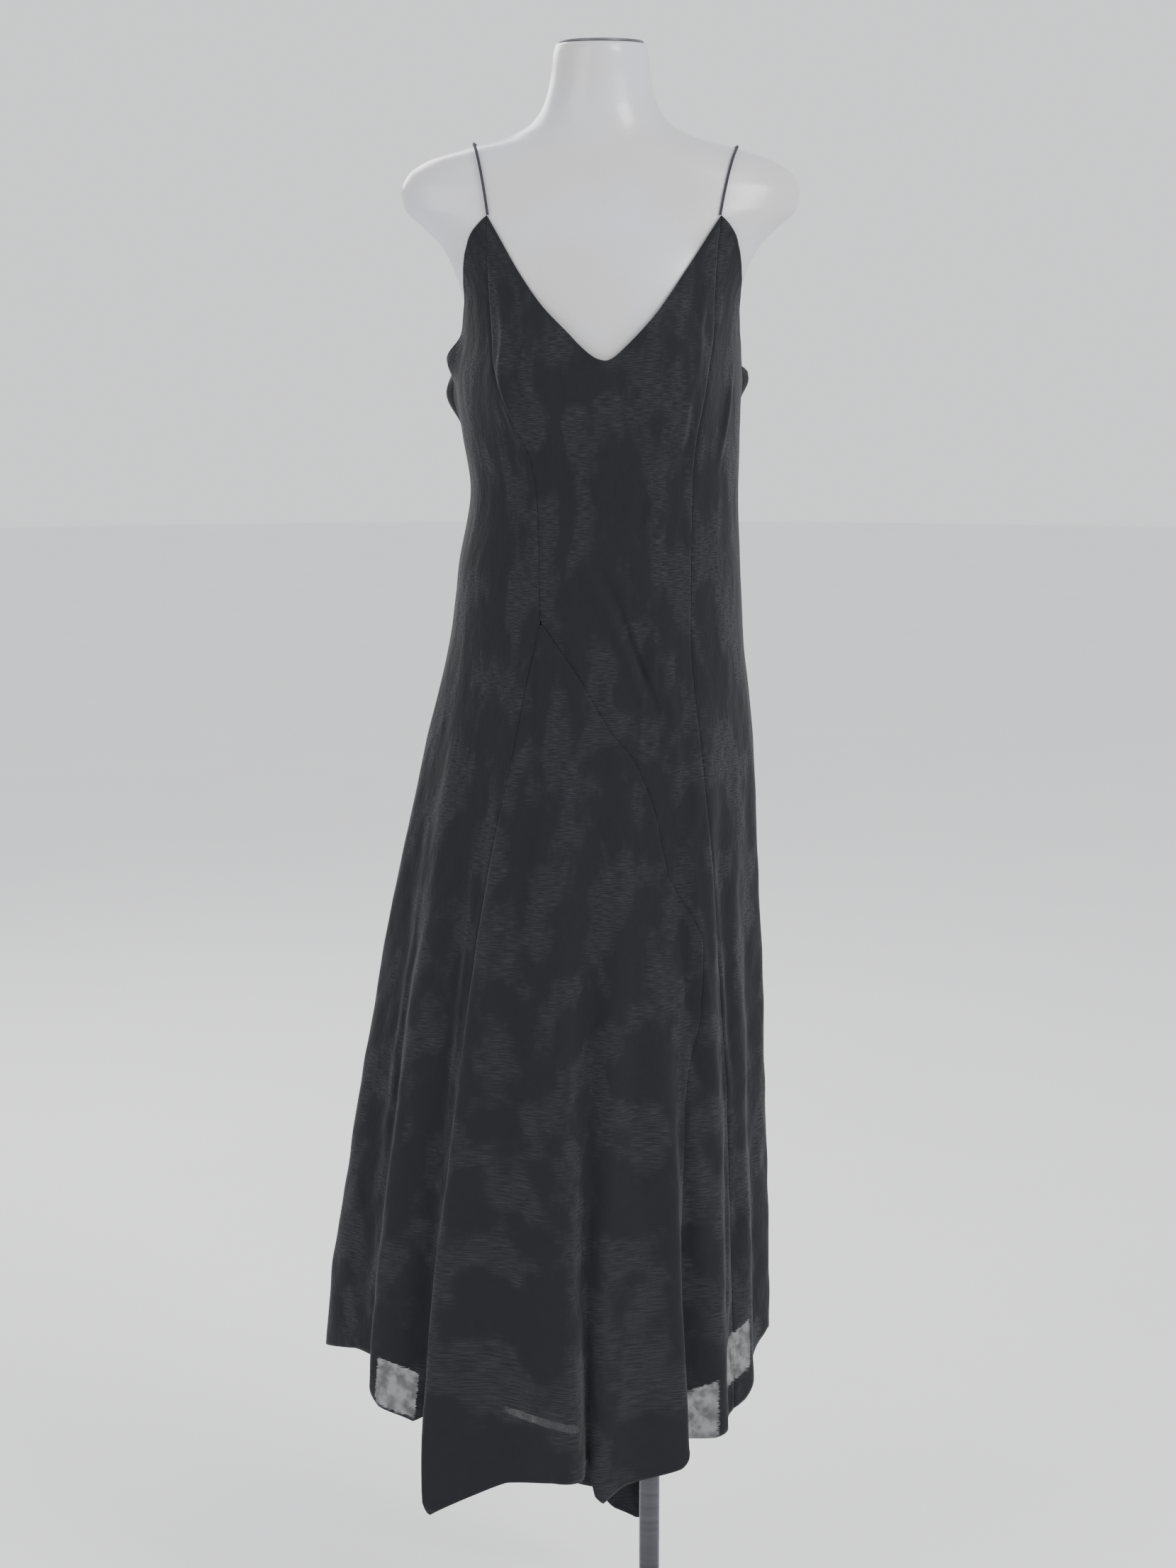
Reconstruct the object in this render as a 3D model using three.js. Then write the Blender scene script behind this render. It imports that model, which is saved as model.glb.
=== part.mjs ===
// A black bias-cut slip dress, worn on a limbless dress form that stands on a pole and a round base.
// Millimetres. The front faces -Y, +Z is up, the floor is z = 0 and the pole's axis is x = y = 0.
//
// The cloth is described by a turn about the body and a height. A turn of 0 degrees is the side seam on
// the -X side, 90 the centre front, 180 the side seam on the +X side and 270 the centre back.
import * as THREE from 'three';

// ---- driving sizes ----
const CLOTH = 1.6; // wall of every cloth panel
const SEAM_GAP = 0.2; // what each panel leaves at a sewn edge
const SEAT_GAP = 0.3; // between hard pieces that touch
const BODY_X = -51; // centre line of the dress, from the pole
const FORM_X = -54; // centre line of the dress form, from the pole
const STRAP_HEIGHT = 1558; // where the straps meet the front
const BACK_STRAP_HEIGHT = 1440; // where the straps meet the back
const V_HEIGHT = 1417; // bottom of the V neck
const UNDERARM_HEIGHT = 1408; // top of the side seams
const APEX_HEIGHT = 1158; // top of the godet
const HEM_LEVEL = 230; // height at which the flutes reach their full size
const FORM_TOP = 1726.7;
const FORM_BOTTOM = 985;
const NECK_CAP = { radiusX: 43, front: 55, back: 39, thick: 3 };
const STRAP = { radius: 1.5, clearance: 1.1, sides: 8, steps: 26 };
const POLE_RADIUS = 11;
const COLLAR = { radius: 25, length: 36 };
const BASE = { radius: 165, rim: 5, thick: 8, hubRadius: 26, hubHeight: 34 };

// ---- grids ----
const ROWS_ABOVE_APEX = 8;
const ROWS_BELOW_APEX = 10;
const FORM_SEGMENTS = 36;
const ROUND_SEGMENTS = 48;

// ---- tables ----
// Dress form: half width, reach to the front and back, and the roundness of each level
// (2 is an ellipse, more is squarer).
const FORM_LEVELS = [
  { height: 985, half: 118, front: 78, back: 84, power: 2.2 },
  { height: 1020, half: 134, front: 94, back: 104, power: 2.2 },
  { height: 1080, half: 139, front: 98, back: 108, power: 2.2 },
  { height: 1150, half: 134, front: 96, back: 98, power: 2.2 },
  { height: 1220, half: 120, front: 90, back: 84, power: 2.2 },
  { height: 1282, half: 112, front: 87, back: 78, power: 2.2 },
  { height: 1340, half: 119, front: 94, back: 84, power: 2.2 },
  { height: 1400, half: 131, front: 103, back: 92, power: 2.3 },
  { height: 1430, half: 135, front: 104, back: 95, power: 2.3 },
  { height: 1469, half: 138, front: 100, back: 97, power: 2.4 },
  { height: 1497, half: 146, front: 95, back: 97, power: 2.4 },
  { height: 1525, half: 159, front: 88, back: 96, power: 2.4 },
  { height: 1545, half: 178, front: 84, back: 94, power: 2.4 },
  { height: 1565, half: 198, front: 78, back: 91, power: 2.4 },
  { height: 1582, half: 201, front: 74, back: 88, power: 2.4 },
  { height: 1598, half: 194, front: 71, back: 84, power: 2.3 },
  { height: 1612, half: 174, front: 69, back: 79, power: 2.2 },
  { height: 1624, half: 138, front: 66, back: 74, power: 2.1 },
  { height: 1636, half: 94, front: 62, back: 69, power: 2 },
  { height: 1650, half: 69, front: 60, back: 62, power: 2 },
  { height: 1668, half: 57, front: 58, back: 54, power: 2 },
  { height: 1694, half: 50.5, front: 58, back: 47, power: 2 },
  { height: 1718, half: 47.5, front: 59, back: 43, power: 2 },
  { height: FORM_TOP, half: 45, front: 57, back: 41, power: 2 },
];

// Dress before its flutes: reach to each side from the centre line, to the front and to the back.
const DRESS_LEVELS = [
  { height: 60, left: 275, right: 160, front: 140, back: 140, power: 2 },
  { height: 230, left: 273, right: 160, front: 138, back: 138, power: 2 },
  { height: 438, left: 262, right: 160, front: 132, back: 134, power: 2 },
  { height: 595, left: 242, right: 159, front: 128, back: 131, power: 2 },
  { height: 751, left: 221, right: 157, front: 124, back: 128, power: 2 },
  { height: 904, left: 197, right: 155, front: 121, back: 126, power: 2 },
  { height: 1016, left: 177, right: 153, front: 119, back: 123, power: 2.1 },
  { height: 1128, left: 156, right: 145, front: 114, back: 118, power: 2.2 },
  { height: 1202, left: 149, right: 141, front: 108, back: 106, power: 2.3 },
  { height: 1282, left: 136, right: 138, front: 100, back: 92, power: 2.3 },
  { height: 1340, left: 144, right: 139, front: 104, back: 92, power: 2.3 },
  { height: 1400, left: 150, right: 140, front: 111, back: 97, power: 2.3 },
  { height: 1440, left: 144, right: 139, front: 112, back: 100, power: 2.3 },
  { height: 1469, left: 144, right: 141, front: 105, back: 102, power: 2.4 },
  { height: 1497, left: 151, right: 149, front: 99, back: 101, power: 2.4 },
  { height: 1525, left: 164, right: 162, front: 92, back: 100, power: 2.4 },
  { height: 1545, left: 183, right: 181, front: 88, back: 98, power: 2.4 },
  { height: 1565, left: 203, right: 201, front: 82, back: 95, power: 2.4 },
];

// Flutes that hang from the hip: turn where one starts and at the hem, the height it starts at, its
// width in degrees, how far it stands out at the hem and how far it leans along the turn.
const FLUTES = [
  { turn: 4, start: 1180, hemTurn: 8, width: 11, out: 32, lean: -10 },
  { turn: 34, start: 1060, hemTurn: 43, width: 8, out: 24, lean: -20 },
  { turn: 62, start: 1140, hemTurn: 65, width: 7, out: 30, lean: -28 },
  { turn: 80, start: 1080, hemTurn: 88, width: 9, out: 40, lean: 36 },
  { turn: 103, start: 1000, hemTurn: 104, width: 6, out: 26, lean: -6 },
  { turn: 117, start: 900, hemTurn: 117, width: 7, out: 34, lean: 34 },
  { turn: 132, start: 1120, hemTurn: 137, width: 7, out: 26, lean: 14 },
  { turn: 150, start: 1000, hemTurn: 153, width: 7, out: 20, lean: 12 },
  { turn: 172, start: 1120, hemTurn: 170, width: 9, out: 22, lean: 8 },
  { turn: 196, start: 1000, hemTurn: 196, width: 8, out: 32, lean: 14 },
  { turn: 220, start: 1080, hemTurn: 222, width: 9, out: 36, lean: 20 },
  { turn: 246, start: 1120, hemTurn: 248, width: 8, out: 38, lean: -18 },
  { turn: 270, start: 1040, hemTurn: 271, width: 9, out: 30, lean: 22 },
  { turn: 294, start: 1090, hemTurn: 294, width: 8, out: 34, lean: 18 },
  { turn: 318, start: 1060, hemTurn: 318, width: 9, out: 38, lean: -22 },
  { turn: 342, start: 1020, hemTurn: 342, width: 8, out: 30, lean: -14 },
];

// Fullness that fades at both ends: the two cups, and the edges that gape under the arms.
const SWELLS = [
  { turn: 58, top: 1500, lowTurn: 60, bottom: 1290, width: 17, out: 12 },
  { turn: 122, top: 1500, lowTurn: 120, bottom: 1290, width: 17, out: 12 },
  { turn: 3, top: 1450, lowTurn: 2, bottom: 1385, width: 6, out: 11 },
  { turn: 353, top: 1415, lowTurn: 355, bottom: 1340, width: 6, out: 13 },
  { turn: 186, top: 1420, lowTurn: 185, bottom: 1368, width: 5, out: 9 },
];

// Height of the hem at each turn. The cloth hangs in points at the left front and the centre back.
const HEM = [
  { turn: 0, height: 366 },
  { turn: 8, height: 366 },
  { turn: 20, height: 374 },
  { turn: 32, height: 372 },
  { turn: 38, height: 350 },
  { turn: 44, height: 328 },
  { turn: 51, height: 316 },
  { turn: 57, height: 330 },
  { turn: 62, height: 338 },
  { turn: 64, height: 240 },
  { turn: 66, height: 226 },
  { turn: 71, height: 244 },
  { turn: 77, height: 264 },
  { turn: 84, height: 275 },
  { turn: 92, height: 277 },
  { turn: 98, height: 294 },
  { turn: 101.5, height: 256 },
  { turn: 104, height: 248 },
  { turn: 108, height: 262 },
  { turn: 116, height: 276 },
  { turn: 122, height: 300 },
  { turn: 126, height: 298 },
  { turn: 134, height: 297 },
  { turn: 142, height: 306 },
  { turn: 150, height: 325 },
  { turn: 156, height: 348 },
  { turn: 162, height: 370 },
  { turn: 168, height: 388 },
  { turn: 176, height: 394 },
  { turn: 196, height: 392 },
  { turn: 206, height: 368 },
  { turn: 220, height: 325 },
  { turn: 229, height: 275 },
  { turn: 236, height: 232 },
  { turn: 240, height: 178 },
  { turn: 243, height: 122 },
  { turn: 247, height: 96 },
  { turn: 251, height: 94 },
  { turn: 255, height: 110 },
  { turn: 258, height: 136 },
  { turn: 264, height: 142 },
  { turn: 275, height: 168 },
  { turn: 290, height: 216 },
  { turn: 308, height: 282 },
  { turn: 325, height: 326 },
  { turn: 345, height: 352 },
  { turn: 360, height: 366 },
];

// Seams: how far each lies from the centre line at each height.
const BUST_SEAM_LEFT = [
  { height: 1158, across: -64 },
  { height: 1262, across: -66 },
  { height: 1307, across: -70 },
  { height: 1356, across: -85 },
  { height: 1392, across: -99 },
  { height: 1433, across: -109 },
  { height: 1509, across: -116 },
  { height: 1558, across: -116 },
];
const BUST_SEAM_RIGHT = [
  { height: 350, across: 125 },
  { height: 600, across: 122 },
  { height: 800, across: 113 },
  { height: 1000, across: 99 },
  { height: 1158, across: 88 },
  { height: 1330, across: 90 },
  { height: 1397, across: 98 },
  { height: 1447, across: 108 },
  { height: 1520, across: 113 },
  { height: 1558, across: 116 },
];
const DIAGONAL_SEAM = [
  { height: 300, across: 60 },
  { height: 392, across: 65 },
  { height: 510, across: 71 },
  { height: 672, across: 79 },
  { height: 757, across: 91 },
  { height: 824, across: 92 },
  { height: 852, across: 86 },
  { height: 907, across: 64 },
  { height: 962, across: 53 },
  { height: 1018, across: 31 },
  { height: 1046, across: 9 },
  { height: 1109, across: -29 },
  { height: 1158, across: -64 },
];
const GODET_SEAM_LEFT = [
  { height: 230, across: -188 },
  { height: 340, across: -180 },
  { height: 440, across: -163 },
  { height: 700, across: -138 },
  { height: 900, across: -112 },
  { height: 1000, across: -93 },
  { height: 1100, across: -76 },
  { height: 1158, across: -64 },
];

// Top edges: the front armhole by its share of the way from the side seam to the strap, and the back
// edge by its turn.
const ARMHOLE = [
  { share: 0, height: UNDERARM_HEIGHT },
  { share: 0.1, height: 1426 },
  { share: 0.22, height: 1445 },
  { share: 0.4, height: 1476 },
  { share: 0.6, height: 1506 },
  { share: 0.8, height: 1533 },
  { share: 1, height: STRAP_HEIGHT },
];
const BACK_EDGE = [
  { turn: 180, height: UNDERARM_HEIGHT },
  { turn: 190, height: 1400 },
  { turn: 205, height: 1408 },
  { turn: 232, height: BACK_STRAP_HEIGHT },
  { turn: 270, height: 1428 },
  { turn: 308, height: BACK_STRAP_HEIGHT },
  { turn: 335, height: 1408 },
  { turn: 350, height: 1398 },
  { turn: 360, height: UNDERARM_HEIGHT },
];

// Straps: distance from the centre line at the front, on the shoulder and at the back edge.
const STRAP_ROUTES = [
  { name: 'strap_left', front: -115, crest: -131, back: -92 },
  { name: 'strap_right', front: 115, crest: 135, back: 92 },
];

// ---- looks ----
const BLACK_CLOTH = { color: 0x17191f, roughness: 0.86, metalness: 0 };
const PEARL_PLASTIC = { color: 0xd9dade, roughness: 0.3, metalness: 0 };
const DARK_METAL = { color: 0x3b3d42, roughness: 0.35, metalness: 0.9 };
const BLACK_METAL = { color: 0x24262a, roughness: 0.5, metalness: 0.8 };

const radians = THREE.MathUtils.degToRad;
const mix = THREE.MathUtils.lerp;
const clamp = THREE.MathUtils.clamp;

// Smooth value of one column of a table that rises by its key column, level past its ends.
function read(table, key, column, at) {
  const last = table.length - 1;
  const q = clamp(at, table[0][key], table[last][key]);
  let i = 0;
  while (i < last - 1 && table[i + 1][key] <= q) i += 1;
  const slope = (k) => (table[k + 1][column] - table[k][column]) / (table[k + 1][key] - table[k][key]);
  const tangent = (k) => {
    if (k === 0) return slope(0);
    if (k === last) return slope(last - 1);
    const before = slope(k - 1);
    const after = slope(k);
    return before * after > 0 ? (2 * before * after) / (before + after) : 0;
  };
  const span = table[i + 1][key] - table[i][key];
  const t = (q - table[i][key]) / span;
  return (
    (2 * t ** 3 - 3 * t ** 2 + 1) * table[i][column] +
    (t ** 3 - 2 * t ** 2 + t) * span * tangent(i) +
    (3 * t ** 2 - 2 * t ** 3) * table[i + 1][column] +
    (t ** 3 - t ** 2) * span * tangent(i + 1)
  );
}

function readStraight(table, key, column, at) {
  let i = 0;
  while (i < table.length - 2 && table[i + 1][key] <= at) i += 1;
  const t = (at - table[i][key]) / (table[i + 1][key] - table[i][key]);
  return mix(table[i][column], table[i + 1][column], clamp(t, 0, 1));
}

const signedPower = (value, power) => Math.sign(value) * Math.abs(value) ** power;
const turnsApart = (a, b) => THREE.MathUtils.euclideanModulo(a - b + 180, 360) - 180;

// ---- dress surface ----
function dressLevel(height) {
  const level = {};
  for (const column of ['left', 'right', 'front', 'back', 'power']) {
    level[column] = read(DRESS_LEVELS, 'height', column, height);
  }
  return level;
}

function dressPoint(turn, height) {
  const level = dressLevel(height);
  const c = Math.cos(radians(turn));
  const s = Math.sin(radians(turn));
  const reach = s >= 0 ? level.front : level.back;
  let out = 0;
  let side = 0;
  for (const flute of FLUTES) {
    const fall = clamp((flute.start - height) / (flute.start - HEM_LEVEL), 0, 1.15);
    const grown = 1 - (1 - Math.min(fall, 1)) ** 1.5;
    const away = turnsApart(turn, mix(flute.turn, flute.hemTurn, fall)) / flute.width;
    out += flute.out * grown * Math.exp(-away * away);
    side += flute.lean * grown * grown * Math.exp(-away * away);
  }
  for (const swell of SWELLS) {
    const fall = (swell.top - height) / (swell.top - swell.bottom);
    if (fall <= 0 || fall >= 1) continue;
    const away = turnsApart(turn, mix(swell.turn, swell.lowTurn, fall)) / swell.width;
    out += swell.out * Math.sin(Math.PI * fall) ** 2 * Math.exp(-away * away);
  }
  const x = (level.right - level.left) / 2 - ((level.left + level.right) / 2) * signedPower(c, 2 / level.power);
  const y = -reach * signedPower(s, 2 / level.power);
  return new THREE.Vector3(BODY_X + x - c * out + s * side, y - s * out - c * side, height);
}

// Unit vector that points out of the dress.
function dressNormal(turn, height) {
  const stepTurn = 0.25;
  const stepHeight = 1;
  const along = dressPoint(turn + stepTurn, height).sub(dressPoint(turn - stepTurn, height));
  const up = dressPoint(turn, height + stepHeight).sub(dressPoint(turn, height - stepHeight));
  return along.cross(up).normalize();
}

// Turn of a seam at a height, from its distance to the centre line.
function seamTurn(seam, height) {
  const { left, right, power } = dressLevel(height);
  const across = read(seam, 'height', 'across', height);
  const share = clamp(((right - left) / 2 - across) / ((left + right) / 2), -1, 1);
  return THREE.MathUtils.radToDeg(Math.acos(signedPower(share, power / 2)));
}

const hemHeight = (turn) => readStraight(HEM, 'turn', 'height', THREE.MathUtils.euclideanModulo(turn, 360));

// ---- closed solids from grids of points ----
function solidFrom(points, triangles) {
  const geometry = new THREE.BufferGeometry();
  const position = new Float32Array(points.flatMap((p) => [p.x, p.y, p.z]));
  geometry.setAttribute('position', new THREE.BufferAttribute(position, 3));
  geometry.setIndex(triangles);
  geometry.computeVertexNormals();
  return geometry;
}

// A wall between an outer and an inner grid of the same size, rows running down, columns to +turn.
function wallGeometry(outer, inner) {
  const rows = outer.length;
  const columns = outer[0].length;
  const points = [...outer.flat(), ...inner.flat()];
  const at = (layer, i, j) => layer * rows * columns + i * columns + j;
  const triangles = [];
  const quad = (a, b, c, d) => triangles.push(a, b, c, a, c, d);
  for (let i = 0; i < rows - 1; i += 1) {
    for (let j = 0; j < columns - 1; j += 1) {
      quad(at(0, i, j), at(0, i + 1, j), at(0, i + 1, j + 1), at(0, i, j + 1));
      quad(at(1, i, j), at(1, i, j + 1), at(1, i + 1, j + 1), at(1, i + 1, j));
    }
    quad(at(0, i, 0), at(1, i, 0), at(1, i + 1, 0), at(0, i + 1, 0));
    quad(at(0, i, columns - 1), at(0, i + 1, columns - 1), at(1, i + 1, columns - 1), at(1, i, columns - 1));
  }
  for (let j = 0; j < columns - 1; j += 1) {
    quad(at(0, 0, j), at(0, 0, j + 1), at(1, 0, j + 1), at(1, 0, j));
    quad(at(0, rows - 1, j), at(1, rows - 1, j), at(1, rows - 1, j + 1), at(0, rows - 1, j + 1));
  }
  return solidFrom(points, triangles);
}

// A solid through closed rings that rise, capped flat at both ends.
function loftGeometry(rings) {
  const count = rings[0].length;
  const points = rings.flat();
  const triangles = [];
  for (let i = 0; i < rings.length - 1; i += 1) {
    for (let j = 0; j < count; j += 1) {
      const next = (j + 1) % count;
      const [a, b] = [i * count + j, i * count + next];
      triangles.push(a, b, b + count, a, b + count, a + count);
    }
  }
  for (let j = 1; j < count - 1; j += 1) {
    const top = (rings.length - 1) * count;
    triangles.push(0, j + 1, j);
    triangles.push(top, top + j, top + j + 1);
  }
  return solidFrom(points, triangles);
}

// ---- cloth panels ----
// A panel lies between two seams. `leftTurn` and `rightTurn` give a seam's turn at a height, and
// `topHeight` the panel's top edge at a share from 0 at the left seam to 1 at the right one.
function panelPlaces({ leftTurn, rightTurn, topHeight, columns }) {
  const turnAt = (share, height) => mix(leftTurn(height), rightTurn(height), share);
  const places = [];
  for (let i = 0; i <= ROWS_ABOVE_APEX + ROWS_BELOW_APEX; i += 1) places.push([]);
  for (let j = 0; j <= columns; j += 1) {
    const share = j / columns;
    let low = HEM_LEVEL;
    for (let pass = 0; pass < 30; pass += 1) low = mix(low, hemHeight(turnAt(share, low)), 0.5);
    places.forEach((row, i) => {
      const below = (i - ROWS_ABOVE_APEX) / ROWS_BELOW_APEX;
      const height = below < 0
        ? mix(topHeight(share), APEX_HEIGHT, i / ROWS_ABOVE_APEX)
        : mix(APEX_HEIGHT, low, below);
      row.push({ turn: turnAt(share, height), height });
    });
  }
  return places;
}

// Pulls the first and last point of each row in, to leave the gap at a seam.
function leaveSeamGaps(row) {
  const pull = (edge, next) => edge.add(next.clone().sub(edge).setLength(SEAM_GAP));
  pull(row[0], row[1]);
  pull(row[row.length - 1], row[row.length - 2]);
}

function panelGeometry(places) {
  const outer = places.map((row) => row.map(({ turn, height }) => dressPoint(turn, height)));
  outer.forEach(leaveSeamGaps);
  const inner = places.map((row, i) =>
    row.map(({ turn, height }, j) => outer[i][j].clone().addScaledVector(dressNormal(turn, height), -CLOTH)));
  return wallGeometry(outer, inner);
}

const bustLeft = (height) =>
  seamTurn(height >= APEX_HEIGHT ? BUST_SEAM_LEFT : GODET_SEAM_LEFT, height);
const centreLeft = (height) =>
  seamTurn(height >= APEX_HEIGHT ? BUST_SEAM_LEFT : DIAGONAL_SEAM, height);
const bustRight = (height) => seamTurn(BUST_SEAM_RIGHT, height);
const armhole = (share) => read(ARMHOLE, 'share', 'height', share);

// The V runs straight from each strap and turns in a small round at its bottom.
function vNeck(share) {
  const round = 0.07;
  const rise = Math.hypot(2 * share - 1, round) - round;
  return V_HEIGHT + ((STRAP_HEIGHT - V_HEIGHT) * rise) / (Math.hypot(1, round) - round);
}

const PANELS = [
  { name: 'front_side_left', leftTurn: () => 0, rightTurn: bustLeft, topHeight: armhole, columns: 10 },
  { name: 'front_centre', leftTurn: centreLeft, rightTurn: bustRight, topHeight: vNeck, columns: 12 },
  {
    name: 'front_side_right',
    leftTurn: bustRight,
    rightTurn: () => 180,
    topHeight: (share) => armhole(1 - share),
    columns: 9,
  },
  {
    name: 'back_right',
    leftTurn: () => 180,
    rightTurn: () => 270,
    topHeight: (share) => read(BACK_EDGE, 'turn', 'height', mix(180, 270, share)),
    columns: 12,
  },
  {
    name: 'back_left',
    leftTurn: () => 270,
    rightTurn: () => 360,
    topHeight: (share) => read(BACK_EDGE, 'turn', 'height', mix(270, 360, share)),
    columns: 12,
  },
];

// The godet starts just under the point where its two seams part.
function godetGeometry() {
  const places = panelPlaces({
    leftTurn: (height) => seamTurn(GODET_SEAM_LEFT, height),
    rightTurn: (height) => seamTurn(DIAGONAL_SEAM, height),
    topHeight: () => APEX_HEIGHT,
    columns: 13,
  }).slice(ROWS_ABOVE_APEX);
  const start = 0.2;
  const outer = places.map((row) => row.map(({ turn, height }) => dressPoint(turn, height)));
  const normals = places.map((row) => row.map(({ turn, height }) => dressNormal(turn, height)));
  outer[0].forEach((point, j) => point.lerp(outer[1][j], start));
  normals[0].forEach((normal, j) => normal.lerp(normals[1][j], start).normalize());
  outer.forEach(leaveSeamGaps);
  const inner = outer.map((row, i) => row.map((p, j) => p.clone().addScaledVector(normals[i][j], -CLOTH)));
  return wallGeometry(outer, inner);
}

// ---- dress form ----
function formLevel(height) {
  const level = {};
  for (const column of ['half', 'front', 'back', 'power']) {
    level[column] = read(FORM_LEVELS, 'height', column, height);
  }
  return level;
}

function ring(level, height) {
  return Array.from({ length: FORM_SEGMENTS }, (_, j) => {
    const angle = (2 * Math.PI * j) / FORM_SEGMENTS;
    const s = Math.sin(angle);
    const x = level.half * signedPower(Math.cos(angle), 2 / level.power);
    const y = (s >= 0 ? level.back : level.front) * signedPower(s, 2 / level.power);
    return new THREE.Vector3(FORM_X + x, y, height);
  });
}

function neckCapGeometry() {
  const bottom = FORM_TOP + SEAT_GAP;
  const level = { half: NECK_CAP.radiusX, front: NECK_CAP.front, back: NECK_CAP.back, power: 2 };
  return loftGeometry([ring(level, bottom), ring(level, bottom + NECK_CAP.thick)]);
}

// ---- straps ----
// Height of the form's shoulder at a distance from its centre line.
function shoulderHeight(across) {
  let [low, high] = [1582, FORM_TOP];
  for (let pass = 0; pass < 40; pass += 1) {
    const middle = (low + high) / 2;
    if (formLevel(middle).half > Math.abs(across)) low = middle;
    else high = middle;
  }
  return low;
}

// A strap from the front (share -1) over the shoulder (0) to the back edge (1), just clear of the form.
function strapPoint({ front, crest, back }, share) {
  const lift = STRAP.radius + STRAP.clearance;
  const across = mix(crest, share < 0 ? front : back, Math.abs(share) ** 1.3);
  const fromForm = across + BODY_X - FORM_X;
  const top = shoulderHeight(fromForm);
  const end = share < 0
    ? STRAP_HEIGHT + SEAT_GAP
    : BACK_STRAP_HEIGHT + STRAP.radius;
  const height = mix(top, end, share * share);
  const level = formLevel(height);
  const reach = (share < 0 ? level.front : level.back) + lift;
  const inside = 1 - (Math.abs(fromForm) / (level.half + lift * (1 - Math.abs(share)))) ** level.power;
  const y = Math.sign(share) * reach * Math.max(inside, 0) ** (1 / level.power);
  return new THREE.Vector3(BODY_X + across, y, height + lift * (1 - Math.max(share, 0)) * (1 + Math.min(share, 0)));
}

function strapGeometry(route) {
  const count = 15;
  const points = Array.from({ length: count }, (_, i) => strapPoint(route, mix(-1, 1, i / (count - 1))));
  const section = new THREE.Shape(
    Array.from({ length: STRAP.sides }, (_, i) => {
      const angle = (2 * Math.PI * i) / STRAP.sides;
      return new THREE.Vector2(STRAP.radius * Math.cos(angle), STRAP.radius * Math.sin(angle));
    }),
  );
  const extrudePath = new THREE.CatmullRomCurve3(points);
  return new THREE.ExtrudeGeometry(section, { steps: STRAP.steps, bevelEnabled: false, extrudePath });
}

// ---- stand ----
// A solid turned about the pole's axis from a profile of [radius, height] pairs.
function turned(profile) {
  const geometry = new THREE.LatheGeometry(profile.map(([r, z]) => new THREE.Vector2(r, z)), ROUND_SEGMENTS);
  return geometry.rotateX(Math.PI / 2);
}

function sleeve(inside, outside, bottom, top) {
  const chamfer = 2;
  return turned([
    [inside, bottom],
    [outside - chamfer, bottom],
    [outside, bottom + chamfer],
    [outside, top - chamfer],
    [outside - chamfer, top],
    [inside, top],
    [inside, bottom],
  ]);
}

const poleBottom = BASE.thick + SEAT_GAP;
const poleTop = FORM_BOTTOM - SEAT_GAP;

// ---- the object ----
const object = new THREE.Group();

function add(name, geometry, look) {
  const mesh = new THREE.Mesh(geometry, new THREE.MeshStandardMaterial(look));
  mesh.name = name;
  object.add(mesh);
}

for (const panel of PANELS) add(panel.name, panelGeometry(panelPlaces(panel)), BLACK_CLOTH);
add('front_godet', godetGeometry(), BLACK_CLOTH);
for (const route of STRAP_ROUTES) add(route.name, strapGeometry(route), BLACK_CLOTH);

add('form_torso', loftGeometry(FORM_LEVELS.map((level) => ring(level, level.height))), PEARL_PLASTIC);
add('neck_cap', neckCapGeometry(), DARK_METAL);

add('stand_collar', sleeve(POLE_RADIUS + SEAT_GAP, COLLAR.radius, poleTop - COLLAR.length, poleTop), BLACK_METAL);
add('stand_pole', turned([[0, poleBottom], [POLE_RADIUS, poleBottom], [POLE_RADIUS, poleTop], [0, poleTop]]), DARK_METAL);
add('stand_hub', sleeve(POLE_RADIUS + SEAT_GAP, BASE.hubRadius, poleBottom, BASE.hubHeight), BLACK_METAL);
add(
  'stand_base',
  turned([[0, 0], [BASE.radius, 0], [BASE.radius, BASE.rim], [BASE.radius - 4, BASE.thick], [0, BASE.thick]]),
  BLACK_METAL,
);

export default object;
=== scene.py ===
"""A black bias-cut slip dress on a limbless dress form with a pole stand.

The cloth is described by a turn about the body and a height: 0 degrees is the side seam on the -X side,
90 the centre front, 180 the side seam on the +X side and 270 the centre back. Tables are in millimetres
and degrees, and meshes are in metres.
"""
import logging
import math
from dataclasses import dataclass, field
from enum import Enum
from typing import Callable, Sequence

import bpy
import numpy as np
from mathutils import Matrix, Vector


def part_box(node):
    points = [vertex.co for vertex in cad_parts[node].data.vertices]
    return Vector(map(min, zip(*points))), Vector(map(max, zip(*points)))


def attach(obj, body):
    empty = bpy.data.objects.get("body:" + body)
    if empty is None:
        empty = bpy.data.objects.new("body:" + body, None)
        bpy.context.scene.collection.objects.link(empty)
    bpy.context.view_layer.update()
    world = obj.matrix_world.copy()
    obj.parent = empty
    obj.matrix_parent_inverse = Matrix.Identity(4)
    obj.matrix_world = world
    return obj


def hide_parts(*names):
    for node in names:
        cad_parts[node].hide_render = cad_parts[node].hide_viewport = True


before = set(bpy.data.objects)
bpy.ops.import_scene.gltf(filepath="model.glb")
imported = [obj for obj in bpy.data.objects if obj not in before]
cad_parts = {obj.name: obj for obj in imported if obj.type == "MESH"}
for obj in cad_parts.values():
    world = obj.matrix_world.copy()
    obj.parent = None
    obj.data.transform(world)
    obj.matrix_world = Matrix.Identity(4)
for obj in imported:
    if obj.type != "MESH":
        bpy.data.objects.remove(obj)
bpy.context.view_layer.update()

LOG = logging.getLogger("dress")
MM = 0.001
MM_PER_DEGREE = 3.1  # mean run of cloth for one degree of turn
BODY = "root"
SEED = 11

Array = np.ndarray
Reader = Callable[[Array], Array]


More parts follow.
